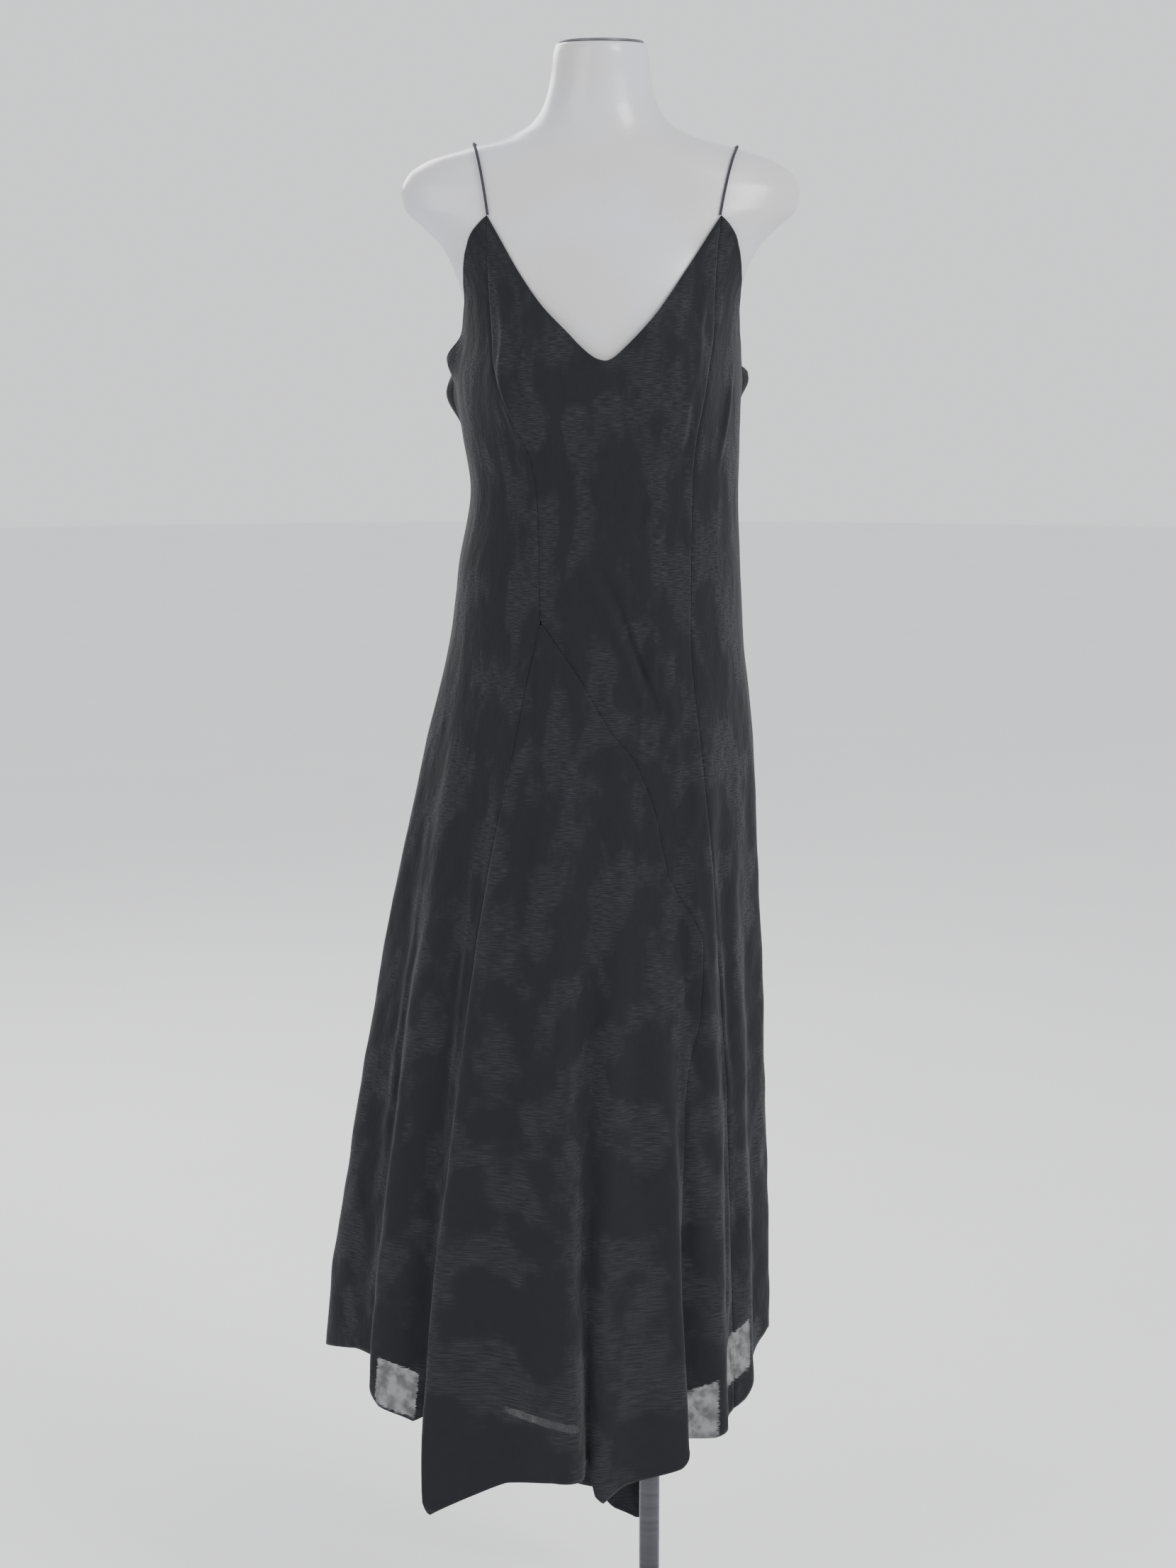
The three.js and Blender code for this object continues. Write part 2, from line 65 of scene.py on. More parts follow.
# ---------------------------------------------------------------- tables and curves
@dataclass(frozen=True)
class Table:
    """Rows of named columns that rise by their first column."""

    columns: tuple[str, ...]
    rows: tuple[tuple[float, ...], ...]

    def keys(self) -> Array:
        """Returns: the first column."""
        return np.array([row[0] for row in self.rows], float)

    def read(self, column: str, at: Array) -> Array:
        """Reads a column smoothly, level past the ends.

        Args:
            column: name of the column.
            at: values of the first column.

        Returns:
            The column's smooth value at each place.
        """
        keys = self.keys()
        values = np.array([row[self.columns.index(column)] for row in self.rows], float)
        slopes = np.diff(values) / np.diff(keys)
        tangents = np.zeros(len(keys))
        tangents[0], tangents[-1] = slopes[0], slopes[-1]
        for i in range(1, len(keys) - 1):
            if slopes[i - 1] * slopes[i] > 0:
                tangents[i] = 2 * slopes[i - 1] * slopes[i] / (slopes[i - 1] + slopes[i])
        q = np.clip(at, keys[0], keys[-1])
        i = np.clip(np.searchsorted(keys, q, side="right") - 1, 0, len(keys) - 2)
        span = keys[i + 1] - keys[i]
        t = (q - keys[i]) / span
        return ((2 * t**3 - 3 * t**2 + 1) * values[i] + (t**3 - 2 * t**2 + t) * span * tangents[i]
                + (3 * t**2 - 2 * t**3) * values[i + 1] + (t**3 - t**2) * span * tangents[i + 1])

    def straight(self, column: str, at: Array) -> Array:
        """Reads a column along straight lines between rows.

        Args:
            column: name of the column.
            at: values of the first column.

        Returns:
            The column's value at each place.
        """
        return np.interp(at, self.keys(), [row[self.columns.index(column)] for row in self.rows])


def signed_power(value: Array, power: Array) -> Array:
    """Returns: the power of the value's size with the value's sign."""
    return np.sign(value) * np.abs(value) ** power


def turns_apart(a: Array, b: Array) -> Array:
    """Returns: the signed turn from b to a, between -180 and 180 degrees."""
    return (a - b + 180) % 360 - 180


def smoothstep(low: float, high: float, value: Array) -> Array:
    """Returns: 0 below low, 1 above high and a smooth rise between."""
    t = np.clip((value - low) / (high - low), 0, 1)
    return t * t * (3 - 2 * t)


# ---------------------------------------------------------------- meshes
def make_mesh(name: str, points: Array, faces: Array, smooth: bool = True) -> bpy.types.Object:
    """Makes an object from points in metres and faces of four or three corners.

    Args:
        name: the piece's name.
        points: N x 3 places.
        faces: lists of corner numbers.
        smooth: whether its faces shade smoothly.

    Returns:
        The new object, linked to the scene.
    """
    mesh = bpy.data.meshes.new(name)
    mesh.from_pydata(points.tolist(), [], [tuple(map(int, f)) for f in faces])
    mesh.validate()
    mesh.polygons.foreach_set("use_smooth", [smooth] * len(mesh.polygons))
    mesh.update()
    piece = bpy.data.objects.new(name, mesh)
    bpy.context.scene.collection.objects.link(piece)
    return piece


def grid_quads(rows: int, columns: int, start: int = 0, flip: bool = False) -> Array:
    """Returns: the quads of a grid of points, whose numbers begin at start."""
    i, j = np.meshgrid(np.arange(rows - 1), np.arange(columns - 1), indexing="ij")
    a = start + i * columns + j
    quads = np.stack([a, a + columns, a + columns + 1, a + 1], -1).reshape(-1, 4)
    return quads[:, ::-1] if flip else quads


def loft(name: str, rings: Sequence[Array]) -> bpy.types.Object:
    """Makes a closed solid through rings of equal counts that rise, with a fan at each end.

    Args:
        name: the piece's name.
        rings: the rings' points in metres, counterclockwise from above.

    Returns:
        The new object.
    """
    count = len(rings[0])
    points = np.concatenate([*rings, [np.mean(rings[0], axis=0)], [np.mean(rings[-1], axis=0)]])
    faces = []
    for i in range(len(rings) - 1):
        for j in range(count):
            a, b = i * count + j, i * count + (j + 1) % count
            faces.append((a, b, b + count, a + count))
    low, high = len(points) - 2, len(points) - 1
    top = (len(rings) - 1) * count
    for j in range(count):
        faces.append((low, (j + 1) % count, j))
        faces.append((high, top + j, top + (j + 1) % count))
    return make_mesh(name, points, faces)


def turned(name: str, profile: Sequence[tuple[float, float]], segments: int = 96) -> bpy.types.Object:
    """Makes a solid turned about the pole's axis.

    Args:
        name: the piece's name.
        profile: radius and height pairs that rise, in metres.
        segments: points round each ring.

    Returns:
        The new object.
    """
    angle = np.linspace(0, 2 * math.pi, segments, endpoint=False)
    rings = [np.stack([r * np.cos(angle), r * np.sin(angle), np.full(segments, z)], -1) for r, z in profile]
    return loft(name, rings)


# ---------------------------------------------------------------- shader maths
class Value:
    """A shader number that adds a Math node when it is used in an expression."""

    def __init__(self, paint: "Paint", socket: bpy.types.NodeSocket) -> None:
        """Wraps a socket of a paint's tree."""
        self.paint = paint
        self.socket = socket

    def _math(self, operation: str, first: object, second: object) -> "Value":
        """Returns: the Value of one Math node."""
        return self.paint.add("ShaderNodeMath", {"operation": operation}, [first, second])

    def __add__(self, other: object) -> "Value":
        """Adds."""
        return self._math("ADD", self, other)

    def __radd__(self, other: object) -> "Value":
        """Adds, reflected."""
        return self._math("ADD", other, self)

    def __sub__(self, other: object) -> "Value":
        """Subtracts."""
        return self._math("SUBTRACT", self, other)

    def __rsub__(self, other: object) -> "Value":
        """Subtracts, reflected."""
        return self._math("SUBTRACT", other, self)

    def __mul__(self, other: object) -> "Value":
        """Multiplies."""
        return self._math("MULTIPLY", self, other)

    def __rmul__(self, other: object) -> "Value":
        """Multiplies, reflected."""
        return self._math("MULTIPLY", other, self)

    def step(self, low: float, high: float) -> "Value":
        """Returns: 0 below low, 1 above high, smooth between."""
        settings = {"interpolation_type": "SMOOTHSTEP"}
        return self.paint.add("ShaderNodeMapRange", settings, {"Value": self, "From Min": low, "From Max": high})


class Paint:
    """A material being built, with one method that adds its nodes."""

    def __init__(self, name: str) -> None:
        """Starts an empty material of that name."""
        self.material = bpy.data.materials.new(name)
        self.material.use_nodes = True
        self.tree = self.material.node_tree
        self.tree.nodes.clear()

    def node(self, kind: str, settings: dict, inputs: object = ()) -> bpy.types.Node:
        """Adds a node.

        Args:
            kind: the node's type.
            settings: its properties, set first.
            inputs: values or links, by position or by socket name.

        Returns:
            The node.
        """
        node = self.tree.nodes.new(kind)
        for key, value in settings.items():
            setattr(node, key, value)
        pairs = inputs.items() if isinstance(inputs, dict) else enumerate(inputs)
        for key, value in pairs:
            if value is None:
                continue
            if isinstance(value, Value):
                self.tree.links.new(value.socket, node.inputs[key])
            else:
                node.inputs[key].default_value = value
        return node

    def add(self, kind: str, settings: dict, inputs: object = (), output: object = 0) -> Value:
        """Adds a node and returns: one of its outputs as a Value."""
        return Value(self, self.node(kind, settings, inputs).outputs[output])

    def place(self) -> Value:
        """Returns: the object coordinates."""
        return self.add("ShaderNodeTexCoord", {}, (), "Object")

    def cloth_place(self) -> Value:
        """Returns: the piece's own map, in metres over the cloth."""
        return self.add("ShaderNodeUVMap", {"uv_map": "cloth"}, (), "UV")

    def stretch(self, vector: Value, scale: tuple[float, float, float], turn: float = 0.0) -> Value:
        """Returns: the vector turned about its third axis and scaled."""
        inputs = {"Vector": vector, "Rotation": (0, 0, turn), "Scale": scale}
        return self.add("ShaderNodeMapping", {}, inputs, "Vector")

    def noise(self, vector: Value, scale: float, detail: float = 3.0) -> Value:
        """Returns: the strength of a noise."""
        return self.add("ShaderNodeTexNoise", {}, {"Vector": vector, "Scale": scale, "Detail": detail}, 0)

    def mix(self, share: object, first: object, second: object) -> Value:
        """Returns: a colour between two."""
        node = self.node("ShaderNodeMix", {"data_type": "RGBA"}, {0: share, 6: first, 7: second})
        return Value(self, node.outputs[2])

    def finish(self, inputs: dict, bump: Value | None = None, height: float = 0.0) -> bpy.types.Material:
        """Closes the material with its shader.

        Args:
            inputs: the shader's inputs by name.
            bump: what raises the surface.
            height: how far, in metres.

        Returns:
            The material.
        """
        if bump is not None:
            inputs["Normal"] = self.add("ShaderNodeBump", {}, {"Distance": height, "Height": bump}, "Normal")
        shader = self.add("ShaderNodeBsdfPrincipled", {}, inputs, "BSDF")
        self.node("ShaderNodeOutputMaterial", {}, {"Surface": shader})
        return self.material


@dataclass(frozen=True)
class CrinkledJacquard:
    """Matte black crepe with brushed patches of floating threads and a sheer ground near the hem."""

    ground: tuple[float, float, float, float] = (0.0075, 0.0078, 0.0098, 1)
    floats: tuple[float, float, float, float] = (0.019, 0.020, 0.0245, 1)
    sheer_grey: tuple[float, float, float, float] = (0.05, 0.052, 0.055, 1)
    sheer_share: float = 0.42

    def build(self) -> bpy.types.Material:
        """Returns: the cloth's material."""
        paint = Paint("crinkled_jacquard")
        cloth = paint.cloth_place()
        brush = paint.noise(paint.stretch(cloth, (1.0, 0.45, 1.0), 0.5), 30.0, 5.0)
        wide = paint.noise(cloth, 12.0, 2.0)
        patch = (brush * 0.65 + wide * 0.35).step(0.47, 0.56)
        hatch = paint.noise(paint.stretch(cloth, (90.0, 900.0, 1.0)), 1.0, 2.0).step(0.35, 0.65)
        crinkle = paint.noise(paint.stretch(cloth, (1.6, 0.7, 1.0), -0.6), 120.0, 4.0)
        weave = paint.noise(cloth, 1400.0, 1.0)
        thread = patch * hatch
        tone = paint.mix(thread * 0.8 + crinkle * 0.2, self.ground, self.floats)
        sheer_mark = paint.add("ShaderNodeAttribute", {"attribute_name": "sheer"}, (), "Fac")
        ragged = paint.noise(paint.stretch(cloth, (260.0, 900.0, 1.0)), 1.0, 3.0)
        sheer = (sheer_mark + (ragged - 0.5) * 0.5).step(0.42, 0.5)
        veins = paint.noise(paint.stretch(cloth, (1.0, 0.5, 1.0), 0.4), 150.0, 3.0).step(0.35, 0.7)
        colour = paint.mix(sheer, tone, self.sheer_grey)
        alpha = 1 - sheer * (self.sheer_share - veins * 0.2)
        inputs = {
            "Base Color": colour, "Roughness": 0.9 - thread * 0.12, "Alpha": alpha,
            "Sheen Weight": 0.12, "Sheen Roughness": 0.4, "Specular IOR Level": 0.25,
        }
        return paint.finish(inputs, crinkle * 0.7 + thread * 0.5 + weave * 0.25, 0.0011)


@dataclass(frozen=True)
class StrapCloth:
    """The same cloth, cut narrow and turned into a cord."""

    base: tuple[float, float, float, float] = (0.012, 0.012, 0.017, 1)

    def build(self) -> bpy.types.Material:
        """Returns: the straps' material."""
        paint = Paint("strap_cloth")
        weave = paint.noise(paint.place(), 1500.0, 2.0)
        inputs = {"Base Color": paint.mix(weave, self.base, (0.03, 0.03, 0.04, 1)), "Roughness": 0.8}
        return paint.finish(inputs, weave, 0.0004)


@dataclass(frozen=True)
class PearlShell:
    """Glossy off-white plastic with faint scuffs and random clouds of painted cool reflection."""

    warm: tuple[float, float, float, float] = (0.50, 0.49, 0.485, 1)
    # cool lavender tint painted into the base colour as reflection
    painted_reflection_tint: tuple[float, float, float, float] = (0.53, 0.545, 0.61, 1)
    scuff: tuple[float, float, float, float] = (0.42, 0.42, 0.47, 1)

    def build(self) -> bpy.types.Material:
        """Returns: the form's material."""
        paint = Paint("pearl_shell")
        place = paint.place()
        # painted reflection: random clouds that mix the cool lavender tint into the off-white, standing in for
        # reflections on the gloss
        reflection_cloud = paint.noise(place, 7.0, 2.0).step(0.35, 0.65)
        marks = paint.noise(paint.stretch(place, (1.0, 1.0, 0.35)), 38.0, 3.0).step(0.68, 0.78)
        colour = paint.mix(marks * 0.5, paint.mix(reflection_cloud, self.warm, self.painted_reflection_tint), self.scuff)
        grain = paint.noise(place, 420.0, 2.0)
        inputs = {
            "Base Color": colour, "Roughness": 0.3 + marks * 0.2 + reflection_cloud * 0.06,
            "Coat Weight": 0.35, "Coat Roughness": 0.18, "Specular IOR Level": 0.5,
        }
        return paint.finish(inputs, grain, 0.00012)


@dataclass(frozen=True)
class StandMetal:
    """Dark metal, brushed and a little worn."""

    name: str
    dark: tuple[float, float, float, float]
    light: tuple[float, float, float, float]
    metallic: float
    roughness: float

    def build(self) -> bpy.types.Material:
        """Returns: the metal's material."""
        paint = Paint(self.name)
        place = paint.place()
        bands = paint.noise(paint.stretch(place, (8.0, 8.0, 160.0)), 1.0, 3.0)
        wear = paint.noise(place, 60.0, 4.0).step(0.55, 0.8)
        colour = paint.mix(bands * 0.7 + wear * 0.3, self.dark, self.light)
        inputs = {
            "Base Color": colour, "Metallic": self.metallic,
            "Roughness": self.roughness + wear * 0.2 + bands * 0.1,
        }
        return paint.finish(inputs, bands + wear * 0.3, 0.0004)


class Finish(Enum):
    """The finishes of the object, each tied to a slot of the record."""

    CLOTH = ("dress_cloth", CrinkledJacquard())
    STRAP = ("strap_cloth", StrapCloth())
    SHELL = ("form_shell", PearlShell())
    CAP = ("cap_metal", StandMetal("cap_metal", (0.1, 0.1, 0.11, 1), (0.25, 0.25, 0.26, 1), 0.7, 0.4))
    POLE = ("pole_metal", StandMetal("pole_metal", (0.045, 0.046, 0.052, 1), (0.15, 0.15, 0.165, 1), 0.85, 0.3))
    STAND = ("stand_paint", StandMetal("stand_paint", (0.012, 0.012, 0.014, 1), (0.035, 0.035, 0.04, 1), 0.3, 0.45))


class Wardrobe:
    """Builds each material once and dresses pieces in it."""

    def __init__(self) -> None:
        """Starts with no material built."""
        self.built: dict[Finish, bpy.types.Material] = {}

    def dress(self, piece: bpy.types.Object, finish: Finish, *nodes: str) -> None:
        """Gives a piece its finish, its body and the nodes that it stands for.

        Args:
            piece: the finished piece.
            finish: its finish.
            nodes: the CAD nodes that it replaces.
        """
        if finish not in self.built:
            self.built[finish] = finish.value[1].build()
        piece.data.materials.clear()
        piece.data.materials.append(self.built[finish])
        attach(piece, BODY)
        if nodes:
            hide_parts(*nodes)
        LOG.info("%s: %d faces", piece.name, len(piece.data.polygons))


# ---------------------------------------------------------------- dress form
LEVEL = ("height", "half", "front", "back", "power")
FORM_LEVELS = Table(LEVEL, (
    (985, 118, 78, 84, 2.2), (1020, 134, 94, 104, 2.2), (1080, 139, 98, 108, 2.2), (1150, 134, 96, 98, 2.2),
    (1220, 120, 90, 84, 2.2), (1282, 112, 87, 78, 2.2), (1340, 119, 94, 84, 2.2), (1400, 131, 103, 92, 2.3),
    (1430, 135, 104, 95, 2.3), (1469, 138, 100, 97, 2.4), (1497, 146, 95, 97, 2.4), (1525, 159, 88, 96, 2.4),
    (1545, 178, 84, 94, 2.4), (1565, 198, 78, 91, 2.4), (1582, 201, 74, 88, 2.4), (1598, 194, 71, 84, 2.3),
    (1612, 174, 69, 79, 2.2), (1624, 138, 66, 74, 2.1), (1636, 94, 62, 69, 2.0), (1650, 69, 60, 62, 2.0),
    (1668, 57, 58, 54, 2.0), (1694, 50.5, 58, 47, 2.0), (1718, 47.5, 59, 43, 2.0), (1726.7, 45, 57, 41, 2.0),
))


@dataclass
class DressForm:
    """The limbless form, its neck cap, pole and base."""

    centre: float = -54.0
    top: float = 1726.7
    bottom: float = 985.0
    edge: float = 6.0
    segments: int = 160
    pole_radius: float = 0.011
    base_radius: float = 0.165
    collar_radius: float = 0.025
    hub_radius: float = 0.026

    def ring(self, height: float, scale: float = 1.0) -> Array:
        """Returns: one level's outline in metres, drawn in by a scale."""
        at = np.array(height, float)
        half, front, back, power = (FORM_LEVELS.read(c, at) for c in LEVEL[1:])
        angle = np.linspace(0, 2 * math.pi, self.segments, endpoint=False)
        c, s = np.cos(angle), np.sin(angle)
        x = half * signed_power(c, 2 / power) * scale
        y = np.where(s >= 0, back, front) * signed_power(s, 2 / power) * scale
        return np.stack([self.centre + x, y, np.full(self.segments, height)], -1) * MM

    def shell(self) -> bpy.types.Object:
        """Returns: the form's smooth body, denser over the shoulders, with a rounded lower edge."""
        low = np.linspace(self.bottom + self.edge, 1540, 90, endpoint=False)
        shoulders = np.linspace(1540, 1665, 100, endpoint=False)
        neck = np.linspace(1665, self.top, 26)
        rings = [self.ring(self.bottom, 0.94), self.ring(self.bottom + 0.8, 0.97), self.ring(self.bottom + 3, 0.99)]
        rings += [self.ring(z) for z in np.concatenate([low, shoulders, neck])]
        return loft("form_shell_smooth", rings)

    def cap(self) -> bpy.types.Object:
        """Returns: the thin plate on the neck."""
        angle = np.linspace(0, 2 * math.pi, 96, endpoint=False)
        rings = []
        for scale, lift in ((0.985, 0.3), (1.0, 0.9), (1.0, 2.4), (0.98, 3.1), (0.94, 3.3)):
            y = np.where(np.sin(angle) >= 0, 39, 55) * np.sin(angle) * scale
            x = self.centre + 43 * np.cos(angle) * scale
            rings.append(np.stack([x, y, np.full(96, self.top + lift)], -1) * MM)
        return loft("neck_cap_plate", rings)

    def pole(self) -> bpy.types.Object:
        """Returns: the plain pole, eased a little at both ends."""
        low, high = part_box("stand_pole")[0][2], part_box("stand_pole")[1][2]
        profile = [(self.pole_radius - 0.0004, low), (self.pole_radius, low + 0.0006)]
        profile += [(self.pole_radius, z) for z in np.linspace(low + 0.01, high - 0.001, 40)]
        return turned("pole_tube", profile + [(self.pole_radius - 0.0004, high)], 64)

    def sleeve(self, name: str, node: str, radius: float) -> bpy.types.Object:
        """Returns: a bevelled sleeve round the pole, where its node stands."""
        low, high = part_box(node)[0][2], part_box(node)[1][2]
        inside, chamfer = self.pole_radius + 0.0003, 0.002
        profile = [(inside, low), (radius - chamfer, low), (radius - 0.0005, low + 0.0006), (radius, low + chamfer),
                   (radius, high - chamfer), (radius - 0.0005, high - 0.0006), (radius - chamfer, high),
                   (inside, high)]
        angle = np.linspace(0, 2 * math.pi, 64, endpoint=False)
        rings = [np.stack([r * np.cos(angle), r * np.sin(angle), np.full(64, z)], -1) for r, z in profile]
        faces = []
        for i in range(len(rings)):
            for j in range(64):
                a, b = i * 64 + j, i * 64 + (j + 1) % 64
                shift = 64 if i + 1 < len(rings) else -i * 64
                faces.append((a, b, b + shift, a + shift))
        return make_mesh(name, np.concatenate(rings), faces)

    def base(self) -> bpy.types.Object:
        """Returns: the round base plate with a rounded rim."""
        r, top = self.base_radius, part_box("stand_base")[1][2]
        profile = [(r - 0.001, 0.0), (r, 0.0012), (r, 0.0045), (r - 0.0008, 0.006), (r - 0.003, top - 0.0004),
                   (r - 0.006, top), (r * 0.5, top), (0.03, top)]
        return turned("base_plate", profile)

    def build(self, wardrobe: Wardrobe) -> None:
        """Builds and dresses every hard piece."""
        wardrobe.dress(self.shell(), Finish.SHELL, "form_torso")
        wardrobe.dress(self.cap(), Finish.CAP, "neck_cap")
        wardrobe.dress(self.pole(), Finish.POLE, "stand_pole")
        wardrobe.dress(self.sleeve("collar_sleeve", "stand_collar", self.collar_radius), Finish.STAND, "stand_collar")
        wardrobe.dress(self.sleeve("hub_sleeve", "stand_hub", self.hub_radius), Finish.STAND, "stand_hub")
        wardrobe.dress(self.base(), Finish.STAND, "stand_base")


# ---------------------------------------------------------------- the dress
DRESS = ("height", "left", "right", "front", "back", "power")
DRESS_LEVELS = Table(DRESS, (
    (60, 275, 160, 140, 140, 2.0), (230, 273, 160, 138, 138, 2.0), (438, 262, 160, 132, 134, 2.0),
    (595, 242, 159, 128, 131, 2.0), (751, 221, 157, 124, 128, 2.0), (904, 197, 155, 121, 126, 2.0),
    (1016, 177, 153, 119, 123, 2.1), (1128, 156, 145, 114, 118, 2.2), (1202, 149, 141, 108, 106, 2.3),
    (1282, 136, 138, 100, 92, 2.3), (1340, 144, 139, 104, 92, 2.3), (1400, 150, 140, 111, 97, 2.3),
    (1440, 144, 139, 112, 100, 2.3), (1469, 144, 141, 105, 102, 2.4), (1497, 151, 149, 99, 101, 2.4),
    (1525, 164, 162, 92, 100, 2.4), (1545, 183, 181, 88, 98, 2.4), (1565, 203, 201, 82, 95, 2.4),
))
# Flutes from the hip: turn and height of the start, turn at the hem, width, reach and lean at the hem.
FLUTES = (
    (4, 1180, 8, 11, 32, -10), (34, 1060, 43, 8, 24, -20), (62, 1140, 65, 7, 30, -28), (80, 1080, 88, 9, 40, 36),
    (103, 1000, 104, 6, 26, -6), (117, 900, 117, 7, 34, 34), (132, 1120, 137, 7, 26, 14), (150, 1000, 153, 7, 20, 12),
    (172, 1120, 170, 9, 22, 8), (196, 1000, 196, 8, 32, 14), (220, 1080, 222, 9, 36, 20),
    (246, 1120, 248, 8, 38, -18),
    (270, 1040, 271, 9, 30, 22), (294, 1090, 294, 8, 34, 18), (318, 1060, 318, 9, 38, -22),
    (342, 1020, 342, 8, 30, -14),
)
# Swells and creases that fade at both ends: turn and height of the top, turn and height of the bottom,
# width in degrees, reach (a trough is negative). The first five are the cups and gaping edges.
CREASES = (
    (58, 1500, 60, 1290, 17, 12), (122, 1500, 120, 1290, 17, 12),
    (3, 1450, 2, 1385, 6, 11), (353, 1415, 355, 1340, 6, 13), (186, 1420, 185, 1368, 5, 9),
    (46, 1540, 64, 1265, 2.6, 4.6), (55, 1505, 66, 1300, 2.4, -3.0), (57, 1470, 62, 1395, 2.4, 2.4),
    (134, 1540, 117, 1285, 2.6, 4.2), (127, 1475, 121, 1285, 2.3, -3.4), (158, 1425, 141, 1285, 2.2, 3.2),
    (77, 1352, 67, 1296, 2.0, 2.4), (85, 1334, 77, 1280, 2.0, 2.4), (93, 1318, 85, 1262, 2.0, 1.8),
    (101, 1304, 97, 1248, 2.4, 2.2), (106, 1296, 101, 1236, 2.2, -2.2), (113, 1274, 107, 1210, 2.2, 2.2),
    (84, 1462, 79, 1392, 1.8, 1.6), (76, 1440, 70, 1370, 2.2, 1.8), (99, 1420, 108, 1340, 2.4, 1.7),
    (84, 1248, 119, 1020, 1.6, -3.4), (81, 1244, 115, 1016, 2.4, 2.8), (69, 1180, 85, 1096, 1.5, -2.4),
    (105, 1190, 107, 1060, 2.6, -2.6), (112, 1200, 124, 900, 2.6, 3.0), (129, 1120, 127, 800, 2.2, 2.6),
    (123, 1010, 137, 640, 1.9, 3.2), (120, 960, 133, 600, 1.7, -2.8), (140, 900, 146, 560, 2.0, 3.2),
    (126, 720, 133, 420, 2.4, 4.0), (146, 640, 141, 330, 2.2, 3.6), (107, 640, 112, 330, 2.4, 4.0),
    (74, 1100, 77, 500, 2.6, 3.2), (52, 1060, 55, 420, 2.2, 2.6), (24, 1000, 25, 460, 2.6, 3.0),
    (96, 1130, 97, 980, 1.8, 2.0), (90, 1120, 92, 1020, 1.4, -1.6), (66, 1150, 69, 1010, 1.5, -2.2),
    (206, 1330, 216, 1180, 2.6, 3.0), (232, 1300, 226, 1120, 2.4, 2.6), (262, 1290, 254, 1130, 2.6, -2.6),
    (281, 1310, 290, 1150, 2.4, 2.8), (306, 1320, 300, 1160, 2.4, 2.6), (332, 1330, 324, 1180, 2.6, 2.8),
    (208, 1000, 210, 520, 2.4, 3.0), (258, 980, 260, 480, 2.4, 3.0), (307, 1000, 305, 500, 2.4, 3.2),
)
HEM = Table(("turn", "height"), (
    (0, 366), (8, 366), (20, 374), (32, 372), (38, 350), (44, 328), (51, 316), (57, 330), (62, 338), (64, 240),
    (66, 226), (71, 244), (77, 264), (84, 275), (92, 277), (98, 294), (101.5, 256), (104, 248), (108, 262),
    (116, 276), (122, 300), (126, 298), (134, 297), (142, 306), (150, 325), (156, 348), (162, 370), (168, 388),
    (176, 394), (196, 392), (206, 368), (220, 325), (229, 275), (236, 232), (240, 178), (243, 122), (247, 96),
    (251, 94), (255, 110), (258, 136), (264, 142), (275, 168), (290, 216), (308, 282), (325, 326), (345, 352),
    (360, 366),
))
SEAM = ("height", "across")
BUST_SEAM_LEFT = Table(SEAM, (
    (1158, -64), (1262, -66), (1307, -70), (1356, -85), (1392, -99), (1433, -109), (1509, -116), (1558, -116),
))
BUST_SEAM_RIGHT = Table(SEAM, (
    (350, 125), (600, 122), (800, 113), (1000, 99), (1158, 88), (1330, 90), (1397, 98), (1447, 108), (1520, 113),
    (1558, 116),
))
DIAGONAL_SEAM = Table(SEAM, (
    (300, 60), (392, 65), (510, 71), (672, 79), (757, 91), (824, 92), (852, 86), (907, 64), (962, 53), (1018, 31),
    (1046, 9), (1109, -29), (1158, -64),
))
GODET_SEAM_LEFT = Table(SEAM, (
    (230, -188), (340, -180), (440, -163), (700, -138), (900, -112), (1000, -93), (1100, -76), (1158, -64),
))
ARMHOLE = Table(("share", "height"), (
    (0, 1408), (0.1, 1426), (0.22, 1445), (0.4, 1476), (0.6, 1506), (0.8, 1533), (1, 1558),
))
BACK_EDGE = Table(("turn", "height"), (
    (180, 1408), (190, 1400), (205, 1408), (232, 1440), (270, 1428), (308, 1440), (335, 1408), (350, 1398),
    (360, 1408),
))
# Places where the ground shows sheer: turn, height, half width and half height in mm, slope.
SHEER = (
    (47, 350, 13, 24, 0.5), (83, 338, 20, 4, 0.25), (128, 318, 20, 30, -0.5), (146, 374, 18, 26, -0.7),
    (243, 150, 8, 26, 0.2), (275, 214, 18, 24, 0.4), (306, 318, 20, 16, -0.4), (334, 372, 16, 22, 0.5),
    (204, 420, 18, 20, -0.4), (226, 330, 16, 22, 0.4),
)


